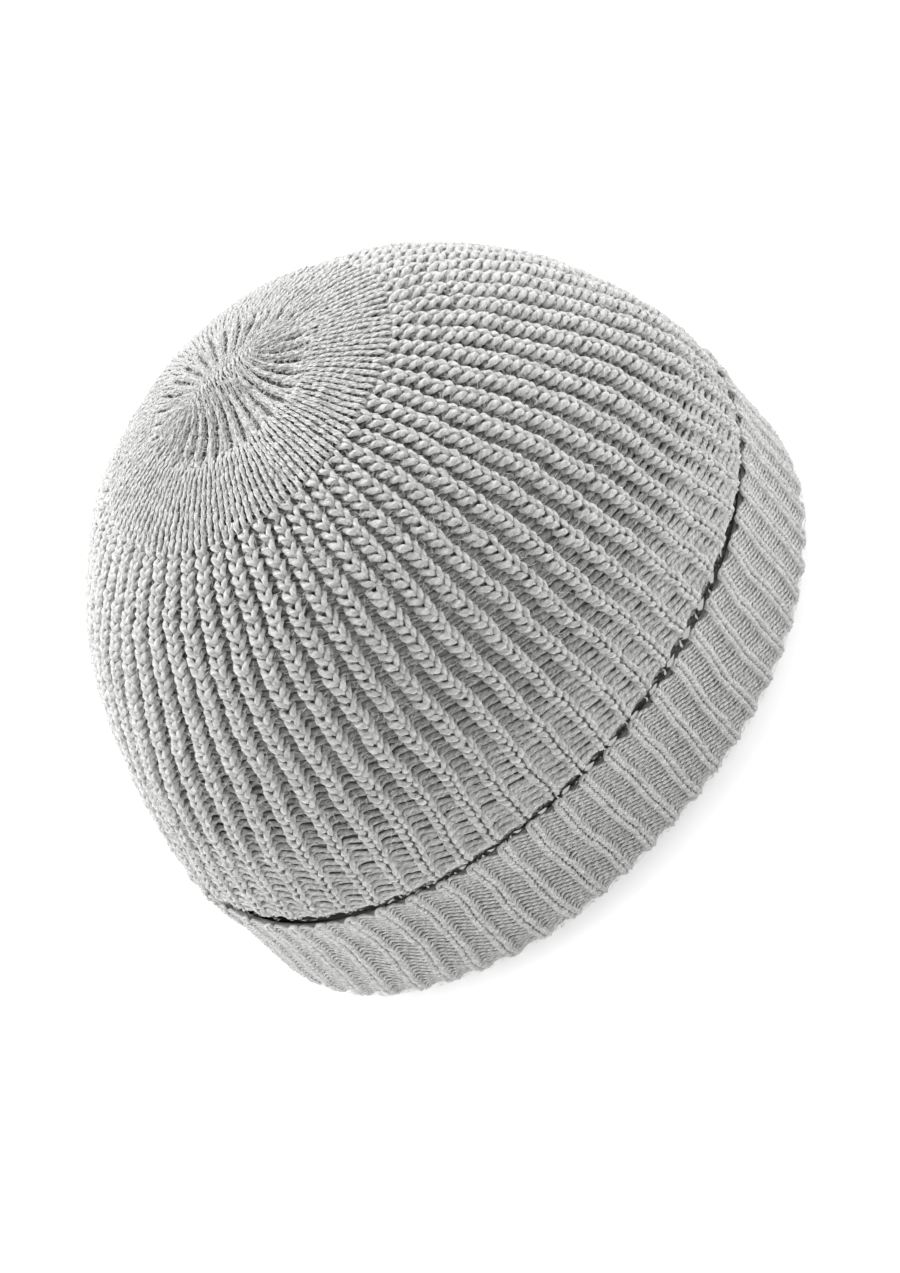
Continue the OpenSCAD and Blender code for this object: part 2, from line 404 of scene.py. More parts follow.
# What most fabrics leave plain in a look
PLAIN = dict(over=0.0, short=0.0, bow=0.0, uneven=0.0, skew=0.0, slant=0.0)


def dress(obj, material, body="hat"):
    """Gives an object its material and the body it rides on."""
    obj.data.materials.clear()
    obj.data.materials.append(material)
    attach(obj, body)
    return obj


def knit_pieces(name, point, normal, radius, material, per_piece, **more):
    """A band of courses as several pieces, so that none has too many faces."""
    made = []
    for i, first in enumerate(range(0, len(point), per_piece)):
        part = slice(first, first + per_piece)
        piece_name = f"{name}_{i + 1}" if len(point) > per_piece else name
        obj = tubes(piece_name, point[part], normal[part], radius[part], start=first * 1.7, **more)
        made.append(dress(obj, material))
    return made


# ---------------------------------------------------------------- finishes
def new_finish(name):
    """A material with its nodes, its links and its shader."""
    mat = bpy.data.materials.new(name)
    mat.use_nodes = True
    return mat, mat.node_tree.nodes, mat.node_tree.links, mat.node_tree.nodes["Principled BSDF"]


def yarn_finish(name, colour, ply_mm=4.2):
    """Heather wool yarn: two plies that wind round each other, light and dark fibres along them, painted
    light and shade along the plies' crests and grooves, and a soft sheen."""
    mat, nodes, links, shader = new_finish(name)
    shader.inputs["Roughness"].default_value = 0.9
    shader.inputs["Sheen Weight"].default_value = 1.0
    shader.inputs["Sheen Roughness"].default_value = 0.35
    shader.inputs["Specular IOR Level"].default_value = 0.15

    def maths(kind, a, b=0.0, c=0.0):
        node = nodes.new("ShaderNodeMath")
        node.operation = kind
        for socket, value in zip(node.inputs, (a, b, c)):
            if isinstance(value, (int, float)):
                socket.default_value = value
            else:
                links.new(value, socket)
        return node.outputs[0]

    def noise(place, scale, detail):
        node = nodes.new("ShaderNodeTexNoise")
        node.inputs["Scale"].default_value = scale
        node.inputs["Detail"].default_value = detail
        links.new(place, node.inputs["Vector"])
        return node.outputs["Fac"]

    uv = nodes.new("ShaderNodeUVMap")
    uv.uv_map = "yarn"
    split = nodes.new("ShaderNodeSeparateXYZ")
    links.new(uv.outputs[0], split.inputs[0])
    u, v = split.outputs[0], split.outputs[1]
    wind = maths("MULTIPLY_ADD", u, 10.0 / ply_mm, v)
    ply = maths("SINE", maths("MULTIPLY", wind, 2 * TAU))
    # Fibres: noise that is long along the plies and short across them
    place = nodes.new("ShaderNodeCombineXYZ")
    links.new(maths("MULTIPLY", maths("FRACT", wind), 9.0), place.inputs[0])
    links.new(maths("MULTIPLY", u, 4.5), place.inputs[1])
    fibres = noise(place.outputs[0], 1.0, 3.0)
    spot = nodes.new("ShaderNodeTexCoord").outputs["Object"]
    blotch = noise(spot, 420.0, 4.0)
    grain = noise(spot, 1900.0, 2.0)
    tone = maths("MULTIPLY_ADD", fibres, 0.9, 0.55)
    tone = maths("MULTIPLY", tone, maths("MULTIPLY_ADD", blotch, 0.3, 0.85))
    tone = maths("MULTIPLY", tone, maths("MULTIPLY_ADD", grain, 0.4, 0.8))
    # Painted light and shade: a little lighter along each ply's crest and darker in the grooves between the
    # plies, on the same wave as the bump.
    tone = maths("MULTIPLY", tone, maths("MULTIPLY_ADD", ply, 0.09, 0.96))
    paint = nodes.new("ShaderNodeCombineColor")
    for socket, level in zip(paint.inputs, colour):
        links.new(maths("MULTIPLY", tone, level), socket)
    links.new(paint.outputs[0], shader.inputs["Base Color"])
    bump = nodes.new("ShaderNodeBump")
    bump.inputs["Strength"].default_value = 0.9
    bump.inputs["Distance"].default_value = 0.35 * MM
    relief = maths("MULTIPLY_ADD", grain, 0.25, maths("MULTIPLY", fibres, 0.7))
    relief = maths("MULTIPLY_ADD", ply, 0.4, relief)
    links.new(relief, bump.inputs["Height"])
    links.new(bump.outputs[0], shader.inputs["Normal"])
    return mat


def plain_finish(name, colour, rough=0.9):
    """A matt colour, a fifth lighter and darker in fine grains."""
    mat, nodes, links, shader = new_finish(name)
    shader.inputs["Roughness"].default_value = rough
    shader.inputs["Specular IOR Level"].default_value = 0.15
    spot = nodes.new("ShaderNodeTexCoord")
    noise = nodes.new("ShaderNodeTexNoise")
    noise.inputs["Scale"].default_value = 900.0
    links.new(spot.outputs["Object"], noise.inputs["Vector"])
    ramp = nodes.new("ShaderNodeMix")
    ramp.data_type = "RGBA"
    ramp.inputs["A"].default_value = [c * 0.8 for c in colour] + [1]
    ramp.inputs["B"].default_value = [min(1, c * 1.2) for c in colour] + [1]
    links.new(noise.outputs["Fac"], ramp.inputs["Factor"])
    links.new(ramp.outputs["Result"], shader.inputs["Base Color"])
    return mat


WOOL = yarn_finish("heather_wool", (0.66, 0.66, 0.65))
# A darker copy of the wool: painted shade for the recess strands deep in the ribs.
SHADED = yarn_finish("heather_wool_painted_shade", (0.42, 0.42, 0.415))
# Dark grey for the web behind the stitches: painted shade in the gaps between the yarns.
PAINTED_SHADE_GROUND = plain_finish("painted_shade_ground", (0.24, 0.24, 0.235))
FIBRE = plain_finish("wool_fibre", (0.72, 0.72, 0.71))


# ---------------------------------------------------------------- body
CROWDING = 0.4
BODY_LOW = float(np.interp(CUFF_H, BODY.z, BODY.s))
BODY_TOP = BODY.where_r(PLAIN_R - 6.0)
BODY_RUN = BODY_TOP - BODY_LOW


def hang(share, s):
    """Where a place on the body really lies: the wales wander a little, and the cloth sags or swells in
    soft places.

    Each soft place is a height in millimetres, a share of the way round, a width and the stretch of the
    body that it covers. At the back the courses crowd together near the crown."""
    lift, drift = slack(share, s, BODY_TOP)
    height = (s - BODY_LOW) / BODY_RUN
    lower_half = ease((BODY_TOP - s) / 60) * ease((s - BODY_LOW) / 12)
    most = ease((BODY_TOP + 15 - s) / 40)
    near_cuff = ease((BODY_LOW + 45 - s) / 30)
    upper, lower = ease(1 - np.abs(height - 0.7) / 0.45), ease(1 - np.abs(height - 0.25) / 0.4)
    for rise, centre, width, stretch in ((-0.8, 0.9, 0.12, lower_half), (-1.9, 0.73, 0.22, most),
                                         (-1.6, 0.01, 0.07, near_cuff), (1.7, 0.86, 0.1, upper),
                                         (-2.6, 0.62, 0.15, upper), (-1.5, 0.96, 0.08, lower)):
        lift = lift + rise * bump_at(share, centre, width) * stretch
    h = np.clip(height, 0, 1)
    s = s + CROWDING * bump_at(share, 0.95, 0.2) * h * (1 - h) * BODY_RUN
    return share + drift / (RIBS * BODY_RIB), s, lift


# Courses get taller from the cuff up. up is how far up the body each one lies, and two lie behind the cuff
heights = np.linspace(0, 1, 201)
course_count = np.concatenate([[0], np.cumsum(BODY_RUN / 200 / by(BODY_COURSES, heights)[:-1])])
counts = np.arange(-2, math.floor(course_count[-1] - 0.3))
up = np.interp(counts, course_count, heights)
up = np.where(counts < 0, counts * BODY_COURSES[0][1] / BODY_RUN, up)
body_s = BODY_LOW + up * BODY_RUN
body_course = by(BODY_COURSES, up)
body_look = dict(
    foot=by([(0, 0.75), (0.15, 0.6), (0.4, 0.3), (0.75, 0.25), (1, 0.25)], up),
    over=by([(0, 0.0), (0.3, 0.55), (1, 0.5)], up),
    top=by([(0, 1.25), (0.15, 1.6), (0.4, 2.35), (0.7, 2.3), (0.93, 1.65), (1, 1.35)], up),
    short=by([(0, 0.0), (0.3, 0.3), (1, 0.3)], up),
    leg_r=by([(0, 0.74), (0.15, 0.82), (0.4, 0.96), (0.7, 0.98), (0.93, 0.9), (1, 0.8)], up),
    thin_r=by([(0, 0.78), (0.4, 0.62), (1, 0.58)], up),
    bow=0.12,
    uneven=by([(0, 0.0), (0.3, 0.1), (1, 0.1)], up),
    skew=by([(0, -0.1), (0.3, -0.4), (1, -0.4)], up),
    dip=-0.62 * body_course,
    slant=-0.45,
    foot_y=-0.46 * body_course,
    leg_y=0.0,
    top_y=0.44 * body_course,
    head_y=0.62 * body_course,
    deep=by([(0, 1.45), (0.15, 2.2), (0.4, 3.9), (0.75, 3.9), (1, 3.3)], up),
    foot_deep=0.35,
    top_deep=by([(0, 0.6), (0.15, 0.9), (0.4, 1.35), (1, 1.4)], up),
    head_deep=1.7,
)
point, normal, radius = knit(BODY, body_s, RIBS, hang, body_look, wobble=0.2)
body_pieces = knit_pieces("body_knit", point, normal, radius, WOOL, PIECE_COURSES, sides=5)
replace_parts(body_pieces[0], "body_panel")


def recess_strands(run, along, wales, share_at, foot, deep, radius, slant):
    """The strands that show at the bottom of the recesses: one more yarn for each course, which crosses
    each recess at a slant and passes behind the wales. A stitch has six knots, from the middle of one
    recess to the next."""
    courses = len(along)
    pitch = run.at(along)[0][:, None] * OVAL_LENGTH / wales
    half = pitch / 2
    foot = np.broadcast_to(foot, courses)[:, None]
    deep = np.broadcast_to(deep, courses)[:, None]
    reach = half - foot
    zero = np.zeros((courses, wales))
    move = smooth_noise((courses, wales), 1.0, 0.28)
    thick = radius * (1 + smooth_noise((courses, wales), 1.0, 0.1))
    rows = []
    for x, y, h in ((0 * half, 0, -deep), (0.5 * reach, slant, -deep * 0.85),
                    (reach, slant * 0.2, -deep - 0.2), (half, 0, -deep - 0.8),
                    (2 * half - reach, -slant * 0.2, -deep - 0.2),
                    (2 * half - 0.5 * reach, -slant, -deep * 0.85)):
        uneven = smooth_noise((courses, wales), 1.0, 0.12)
        rows.append(np.stack([zero + x, zero + y + move + uneven, zero + h + uneven, zero + thick], -1))
    knots = np.stack(rows, 2)
    knots[..., 0] = (np.arange(wales)[None, :, None] + knots[..., 0] / pitch[..., None]) / wales
    knots = knots.reshape(courses, -1, 4)
    share, s, lift = share_at(knots[..., 0], along[:, None] + knots[..., 1])
    point, normal = lay(run, share, s, knots[..., 2] + lift)
    return point, normal, knots[..., 3]


point, normal, radius = recess_strands(BODY, body_s - 0.12 * body_course, RIBS, hang, body_look["foot"],
                                       body_look["deep"] + 0.1, 0.74, -0.75)
strand_pieces = knit_pieces("recess_strands", point, normal, radius, WOOL, PIECE_COURSES, sides=4)
# Less light reaches them than the band next to the cuff, so past the first band they get a darker copy of the
# wool: painted shade.
for obj in strand_pieces[1:]:
    dress(obj, SHADED)


# ---------------------------------------------------------------- crown
def crown_share(share, s):
    """The crown follows the lean and the wander of the body's top course."""
    drift = slack(share, s, BODY_TOP)[1]
    return share + drift / (RIBS * BODY_RIB), s, 0.0


crown_s = np.arange(body_s[-1] + 2.5, BODY.where_r(DECREASE_R), CROWN_COURSE)
crown_pitch = BODY.at(crown_s)[0] * OVAL_LENGTH / (2 * RIBS)
crown_look = dict(PLAIN, foot=crown_pitch * 0.06, top=crown_pitch * 0.17, leg_r=0.06 + 0.21 * crown_pitch,
                  thin_r=0.36, over=0.12, uneven=0.12, skew=-0.2, dip=-1.5, foot_y=-1.5, leg_y=0.1,
                  top_y=1.45, head_y=1.7, deep=1.5, foot_deep=0.1, top_deep=0.35, head_deep=0.9)
point, normal, radius = knit(BODY, crown_s, 2 * RIBS, crown_share, crown_look, fine=0, wobble=0.14)
crown_pieces = knit_pieces("crown_ring_knit", point, normal, radius, WOOL, PIECE_COURSES, sides=5)
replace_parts(crown_pieces[0], "crown_panel")

FOLDS = RIBS // 2


def gathered(share, s):
    """The crown's inner wales bunch in pairs into cords with valleys between them."""
    share, s, _ = crown_share(share, s)
    inward = np.clip((s - GATHER_FROM) / (BODY.length - GATHER_FROM), 0, 1)
    bunch = ease(inward * 5) * (1 - 0.75 * ease(inward * 1.6 - 0.6))
    phase = TAU * FOLDS * share
    return share - 0.09 * bunch * np.sin(phase) / FOLDS, s, bunch * 0.9 * (np.cos(phase) - 1)


GATHER_FROM = BODY.where_r(DECREASE_R)
gather_s = np.arange(crown_s[-1] + CROWN_COURSE, BODY.where_r(0.5), GATHER_COURSE)
# The slit keeps the wales apart where their circle would shrink to a point
gather_r = np.sqrt(BODY.at(gather_s)[0] ** 2 + 45 * ease((gather_s - GATHER_FROM) / 15))
gather_pitch = gather_r * OVAL_LENGTH / RIBS
gather_look = dict(PLAIN, foot=gather_pitch * 0.07, top=gather_pitch * 0.17, leg_r=0.08 + 0.21 * gather_pitch,
                   thin_r=np.clip(gather_pitch * 0.22, 0.26, 0.42), uneven=0.05, dip=-1.4, foot_y=-1.4,
                   leg_y=0.1, top_y=1.45, head_y=1.7, deep=1.8, foot_deep=0.1, top_deep=0.25, head_deep=0.8)
point, normal, radius = knit(BODY, gather_s, RIBS, gathered, gather_look, fine=0, wobble=0.12)
gather_pieces = knit_pieces("crown_gather_knit", point, normal, radius, WOOL, 20, sides=5)
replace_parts(gather_pieces[0], "crown_gather")
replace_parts(gather_pieces[0], "crown_button")


# The last stitches are whipped together along the slit: a helix round its ridge that turns once in
# WHIP_STEP. At a turn p it stands 0.95 sin p across the slit and 0.6 cos p above a line 1 mm under the
# ridge
WHIP_STEP = 1.25
whip_along = np.linspace(-SLIT + 0.5, SLIT - 0.5, 240)
whip_turn = (whip_along + SLIT) / WHIP_STEP * TAU
whip_across = 0.95 * np.sin(whip_turn)
crest = TOTAL_H + RIDGE * ease(1 - np.abs(whip_along) / RIDGE_REACH) - 1.0 + 0.6 * np.cos(whip_turn)
whip = np.stack([OVAL * (whip_along * math.cos(SLIT_TURN) - whip_across * math.sin(SLIT_TURN)),
                 (whip_along * math.sin(SLIT_TURN) + whip_across * math.cos(SLIT_TURN)) / OVAL, crest], -1)
whip_piece = tubes("crown_gather_stitches", whip[None], np.broadcast_to([0.0, 0.0, 1.0], whip.shape)[None],
                   np.full((1, len(whip)), 0.42), sides=6, closed=False)
dress(whip_piece, WOOL)


# ---------------------------------------------------------------- brim and cuff
BRIM_LAYER = 4.0
FOLD_BEND = 3.6


def brim_run():
    """Down the inside of the brim, round the fold and up the outside of the cuff: the fabric's reverse
    side."""
    in_r = BRIM_R - BRIM_LAYER
    angle = np.linspace(0, math.pi / 2, 14)
    down_z = np.linspace(BODY_Z, FOLD_BEND, 40)[:-1]
    up_z = np.linspace(FOLD_BEND, CUFF_H, 50)[1:]
    r = np.concatenate([np.full(len(down_z), in_r), in_r + FOLD_BEND * (1 - np.cos(angle)),
                        CUFF_R - FOLD_BEND * (1 - np.sin(angle)), np.full(len(up_z), CUFF_R)])
    z = np.concatenate([down_z, FOLD_BEND * (1 - np.sin(angle)), FOLD_BEND * (1 - np.cos(angle)), up_z])
    # Raised at the fold, so that its yarns stand on the floor and not in it, and a little wider at the free
    # edge
    z = z + 0.9 * (1 - ease(z / 9))
    r = r + 1.0 * ease((z - 26) / 15) * (r > BRIM_R)
    return Meridian(r, z)


BRIM = brim_run()


def cuff_share(share, s):
    """The cuff stands off the body at the back and a little along each side, more so towards the fold.

    Each place where it does is a height in millimetres, a share of the way round and a width."""
    lift, drift = slack(share, s, BRIM.length + 60)
    outer = ease((s - BRIM.length / 2 + 6) / 14)
    low = 1 - 0.5 * ease((s - BRIM.length + 30) / 30)
    lift = 0.5 * lift
    for rise, centre, width in ((0.9, 0.25, 0.3), (1.6, 0.5, 0.12), (2.2, 0.055, 0.07), (-1.2, 0.97, 0.06)):
        lift = lift + rise * bump_at(share, centre, width)
    flare = 3.2 * bump_at(share, 0.135, 0.1) * (1 - ease((s - BRIM.length + 36) / 30))
    return share + drift / (RIBS * CUFF_RIB), s, (lift * low + flare) * outer


fold_s = BODY_Z - 9.0
cuff_s = np.arange(BRIM.length - 1.2, fold_s, -CUFF_COURSE)[::-1]
cuff_look = dict(PLAIN, foot=0.8, top=1.14, leg_r=0.86, thin_r=0.55, bow=0.03, skew=-0.2, dip=-0.5,
                 slant=-1.05, foot_y=-0.75, leg_y=0.05, top_y=0.8, head_y=1.1, deep=1.25, foot_deep=0.05,
                 top_deep=0.15, head_deep=0.5)
point, normal, radius = knit(BRIM, cuff_s, RIBS, cuff_share, cuff_look, wobble=0.09)
cuff_pieces = knit_pieces("cuff_knit", point, normal, radius, WOOL, PIECE_COURSES, sides=5)
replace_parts(cuff_pieces[0], "cuff")
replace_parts(cuff_pieces[0], "cuff_welt")
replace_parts(cuff_pieces[0], "brim_fold")

brim_s = np.arange(0, cuff_s[0], BRIM_COURSE)
brim_look = dict(cuff_look, leg_r=0.8, thin_r=0.7, foot_y=-0.9, top_y=1.0, head_y=1.5)
point, normal, radius = knit(BRIM, brim_s, RIBS, cuff_share, brim_look, fine=0)
brim_pieces = knit_pieces("brim_knit", point, normal, radius, WOOL, 20, sides=4)
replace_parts(brim_pieces[0], "brim_inner_layer")


# ---------------------------------------------------------------- ground behind the yarns, dark grey as painted shade
def ground(name, run, start, end, rows, depth_out, depth_in, share_at, turns=RIBS * 3):
    """A thin closed web behind the stitches: two grids, at two depths under the skin, joined at both ends."""
    s = np.linspace(start, end, rows)[:, None]
    share = (np.arange(turns) / turns)[None]
    share, s = np.broadcast_arrays(share, s)
    moved, s, lift = share_at(share, s)
    d_out = np.broadcast_to(np.asarray(depth_out, float).reshape(-1, 1), s.shape)
    d_in = np.broadcast_to(np.asarray(depth_in, float).reshape(-1, 1), s.shape)
    outer, _ = lay(run, moved, s, -d_out + lift)
    inner, _ = lay(run, moved, s, -d_in + lift)
    grid = np.concatenate([outer, inner[::-1]])
    n = len(grid)
    i, j = np.meshgrid(np.arange(n), np.arange(turns), indexing="ij")
    i2, j2 = (i + 1) % n, (j + 1) % turns
    quads = np.stack([i * turns + j, i * turns + j2, i2 * turns + j2, i2 * turns + j], -1).reshape(-1, 4)
    return mesh_object(name, grid.reshape(-1, 3) * MM, quads)


ground_depth = np.interp(np.linspace(0, 1, 50), [0, 0.35, 1], [2.1, 4.0, 4.0])
body_ground = ground("painted_shade_web_body", BODY, BODY_LOW - 5, BODY_TOP, 50,
                     ground_depth, ground_depth + 0.6, hang)
crown_ground = ground("painted_shade_web_crown", BODY, BODY_TOP, BODY.length - 0.3, 40, 1.7, 2.9, gathered)
cuff_ground = ground("painted_shade_web_cuff", BRIM, 0, BRIM.length - 1.5, 50, 2.0, 3.0, cuff_share)
# The webs are dressed in the dark grey: painted shade between the yarns.
for obj in (body_ground, crown_ground, cuff_ground):
    dress(obj, PAINTED_SHADE_GROUND)


# ---------------------------------------------------------------- back seam
def chain(name, run, start, end, height, wide, tall, step, radius):
    """A chain stitch up the back at share 0: two yarns that swing from side to side and over each other.

    The yarns stand at +-wide sin(p) across and height + tall cos(2p) over the skin, for p that turns once a
    stitch."""
    count = int((end - start) / step * 10)
    s = np.linspace(start, end, count)
    p = (s - start) / step * TAU / 2
    across = np.stack([wide * np.sin(p), -wide * np.sin(p)])
    over = np.stack([height + tall * np.cos(2 * p), height - tall * np.cos(2 * p)])
    s = np.broadcast_to(s, across.shape)
    mean_r = np.maximum(run.at(s)[0], 3.0)
    point, normal = lay(run, (across / (mean_r * OVAL_LENGTH)) % 1, s, over)
    return dress(tubes(name, point, normal, np.full(s.shape, radius), sides=6, closed=False), WOOL)


seam_body = chain("seam_chain_body", BODY, BODY_LOW - 4, BODY_TOP,
                  height=-2.9, wide=0.9, tall=0.5, step=2.2, radius=0.6)
seam_inside = chain("seam_chain_inside", BODY, BODY_LOW - 5, BODY.where_r(BUTTON_R),
                    height=-5.2, wide=1.3, tall=0.5, step=2.6, radius=0.6)
seam_cuff = chain("seam_chain_cuff", BRIM, 12.0, BRIM.length - 1.5,
                  height=-1.2, wide=0.9, tall=0.4, step=1.8, radius=0.55)
seam_brim = chain("seam_chain_brim", BRIM, 0.5, 32.0, height=0.2, wide=1.3, tall=0.5, step=2.6, radius=0.6)
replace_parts(seam_body, "seam_body")
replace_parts(seam_inside, "seam_crown")
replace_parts(seam_cuff, "seam_cuff")
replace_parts(seam_brim, "seam_brim")


# ---------------------------------------------------------------- draw yarn under the gather
def centre_size(node):
    """The middle of a CAD node's box and half its size, in millimetres."""
    low, high = size_mm(node)
    return (low + high) / 2, (high - low) / 2


ring_middle, ring_half = centre_size("draw_yarn_ring")
DRAW_R = ring_half[2]
ring_turn = np.linspace(0, TAU, 97)[:-1]
outward = np.stack([np.cos(ring_turn), np.sin(ring_turn), 0 * ring_turn], -1)
ring = outward * [ring_half[0] - DRAW_R, ring_half[1] - DRAW_R, 0] + ring_middle
ring_piece = tubes("draw_yarn_loop", ring[None], outward[None], np.full((1, len(ring)), DRAW_R), sides=10)
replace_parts(dress(ring_piece, WOOL), "draw_yarn_ring")

# An overhand knot: a trefoil, ((2 + cos 3p) cos 2p, (2 + cos 3p) sin 2p, 1.7 sin 3p), fitted to the knot's
# box
knot_middle, knot_half = centre_size("draw_yarn_knot")
knot_turn = np.linspace(0, TAU, 145)[:-1]
knot_reach = 2 + np.cos(3 * knot_turn)
trefoil = np.stack([knot_reach * np.cos(2 * knot_turn), knot_reach * np.sin(2 * knot_turn),
                    1.7 * np.sin(3 * knot_turn)], -1)
knot_path = knot_middle + trefoil * ((knot_half[0] - DRAW_R) / 3)
knot_out = knot_path - knot_middle + [0, 0, 0.3]
knot_piece = tubes("draw_yarn_overhand_knot", knot_path[None], knot_out[None],
                   np.full((1, len(knot_path)), DRAW_R * 0.86), sides=10)
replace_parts(dress(knot_piece, WOOL), "draw_yarn_knot")

# The tail: out from the knot, then down the inside of the crown beside the seam
tail_high = size_mm("draw_yarn_tail")[1]
tail_y = tail_high[1] - DRAW_R
tail_s = np.linspace(BODY.where_r(9.0), GATHER_FROM - 14, 60)
tail_r, tail_z, out_r, out_z = BODY.at(tail_s)
inset = 3.0 + DRAW_R + 0.5
wave = 0.35 * np.sin(tail_s * 0.9)
tail_path = np.stack([-(tail_r - inset * out_r) * OVAL, tail_y + wave, tail_z - inset * out_z], -1)
knot_side = knot_middle + np.array([-knot_half[0] * 0.8, tail_y * 0.4, 0])
lead = np.linspace(0, 1, 13)[:-1, None]
bend = knot_side + (tail_path[0] - knot_side) * lead + np.array([0, 0, -1.2]) * np.sin(lead * math.pi)
tail_path = np.concatenate([bend, tail_path])
tail_piece = tubes("draw_yarn_end", tail_path[None], np.broadcast_to([0.0, 1.0, 0.1], tail_path.shape)[None],
                   np.full((1, len(tail_path)), DRAW_R * 0.95), sides=8, closed=False)
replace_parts(dress(tail_piece, WOOL), "draw_yarn_tail")


# ---------------------------------------------------------------- care label
def satin_finish():
    """Woven satin tape: fine shiny ribs along it and a soft gloss."""
    mat, nodes, links, shader = new_finish("satin_tape")
    shader.inputs["Roughness"].default_value = 0.42
    shader.inputs["Sheen Weight"].default_value = 0.15
    spot = nodes.new("ShaderNodeTexCoord")
    wave = nodes.new("ShaderNodeTexWave")
    wave.bands_direction = "Z"
    wave.inputs["Scale"].default_value = 900.0
    wave.inputs["Distortion"].default_value = 0.6
    links.new(spot.outputs["Object"], wave.inputs["Vector"])
    tint = nodes.new("ShaderNodeMix")
    tint.data_type = "RGBA"
    tint.inputs["A"].default_value = (0.78, 0.78, 0.77, 1)
    tint.inputs["B"].default_value = (0.88, 0.88, 0.87, 1)
    links.new(wave.outputs["Fac"], tint.inputs["Factor"])
    links.new(tint.outputs["Result"], shader.inputs["Base Color"])
    bump = nodes.new("ShaderNodeBump")
    bump.inputs["Strength"].default_value = 0.25
    bump.inputs["Distance"].default_value = 0.05 * MM
    links.new(wave.outputs["Fac"], bump.inputs["Height"])
    links.new(bump.outputs[0], shader.inputs["Normal"])
    return mat


SATIN = satin_finish()
THREAD = plain_finish("sewing_thread", (0.42, 0.42, 0.42), 0.6)


def strip(name, path, out, low_z, high_z, thick, rows=18):
    """Upright tape along a path in plan: a closed slab of even thickness."""
    z = np.linspace(low_z, high_z, rows)

    def face(offset):
        plan = (path + out * offset)[:, None]
        return np.stack(np.broadcast_arrays(plan[..., 0], plan[..., 1], z), -1)

    front, back = face(thick / 2), face(-thick / 2)
    loop = np.concatenate([front, back[:, ::-1]], 1)
    n, m = loop.shape[:2]
    i, j = np.meshgrid(np.arange(n - 1), np.arange(m), indexing="ij")
    j2 = (j + 1) % m
    quads = np.stack([i * m + j, (i + 1) * m + j, (i + 1) * m + j2, i * m + j2], -1).reshape(-1, 4)
    k = np.arange(rows - 1)
    ends = []
    for base, flip in ((0, 1), ((n - 1) * m, -1)):
        cap = np.stack([base + k, base + k + 1, base + m - 2 - k, base + m - 1 - k], -1)[:, ::flip]
        ends.append(cap)
    return mesh_object(name, loop.reshape(-1, 3) * MM, np.concatenate([quads] + ends))


label_low, label_high = size_mm("care_label")
HINGE = np.array(frame["joints"][0]["pos_m"][:2]) / MM
FLAP = 30.0
REST = math.radians(14)
TAPE = 0.34


def folded_flap():
    """The tape in plan: out along the flap, round a small fold and back, with a slow bow; and its side
    directions.

    A point is hinge + d a + (bow sin(pi d / length) + side offset) n, for a distance d and the flap's
    directions a, n."""
    gap = TAPE / 2 + 0.04
    out_d = np.linspace(-0.2, FLAP - gap, 26)
    turn = np.linspace(-math.pi / 2, math.pi / 2, 9)[1:-1]
    d = np.concatenate([out_d, FLAP - gap + gap * np.cos(turn), out_d[::-1]])
    offset = np.concatenate([np.full(26, -gap), gap * np.sin(turn), np.full(26, gap)])
    along = np.array([math.sin(REST), math.cos(REST)])
    aside = np.array([math.cos(REST), -math.sin(REST)])
    bow = 1.1 * np.sin(np.clip(d, 0, None) * math.pi / FLAP * 0.8)
    path = HINGE + d[:, None] * along + (offset + bow)[:, None] * aside
    tangent = np.gradient(path, axis=0)
    tangent /= np.linalg.norm(tangent, axis=1, keepdims=True)
    return path, np.stack([tangent[:, 1], -tangent[:, 0]], -1)


flap_path, flap_side = folded_flap()
flap = strip("care_label_flap", flap_path, flap_side, label_low[2], label_high[2], TAPE)
dress(flap, SATIN, "label_flap")
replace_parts(flap, "care_label")

margin_low, margin_high = size_mm("label_margin")
across = np.linspace(margin_low[1], margin_high[1], 16)
sag = 0.35 * (1 - (across / margin_high[1]) ** 2)
margin_path = np.stack([(margin_low[0] + margin_high[0]) / 2 + sag - 0.25, across], -1)
margin_side = np.broadcast_to([1.0, 0.0], margin_path.shape)
margin = strip("care_label_margin", margin_path, margin_side, margin_low[2], margin_high[2],
               margin_high[0] - margin_low[0] - 0.1)
dress(margin, SATIN, "hat")
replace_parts(margin, "label_margin")

# Upright stitches: half an ellipse from the tape and back into it
stitch_low, stitch_high = size_mm("label_stitches")
arc = np.linspace(0.12, math.pi - 0.12, 11)
rows_z = margin_low[2] + (margin_high[2] - margin_low[2]) * (np.arange(4) + 0.5) / 4
sides_y = np.array([stitch_low[1] + 0.3, stitch_high[1] - 0.3])
place_y, place_z = [grid.ravel()[:, None] for grid in np.meshgrid(sides_y, rows_z)]
stitch_x = margin_high[0] - 0.28 + 0.42 * np.sin(arc)[None]
stitch_path = np.stack(np.broadcast_arrays(stitch_x, place_y, place_z - 1.5 * np.cos(arc)[None]), -1)
stitches = tubes("label_stitches_thread", stitch_path, np.broadcast_to([1.0, 0.0, 0.0], stitch_path.shape),
                 np.full(stitch_path.shape[:2], 0.22), sides=6, closed=False, twist_mm=0.9)
dress(stitches, THREAD, "hat")
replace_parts(stitches, "label_stitches")


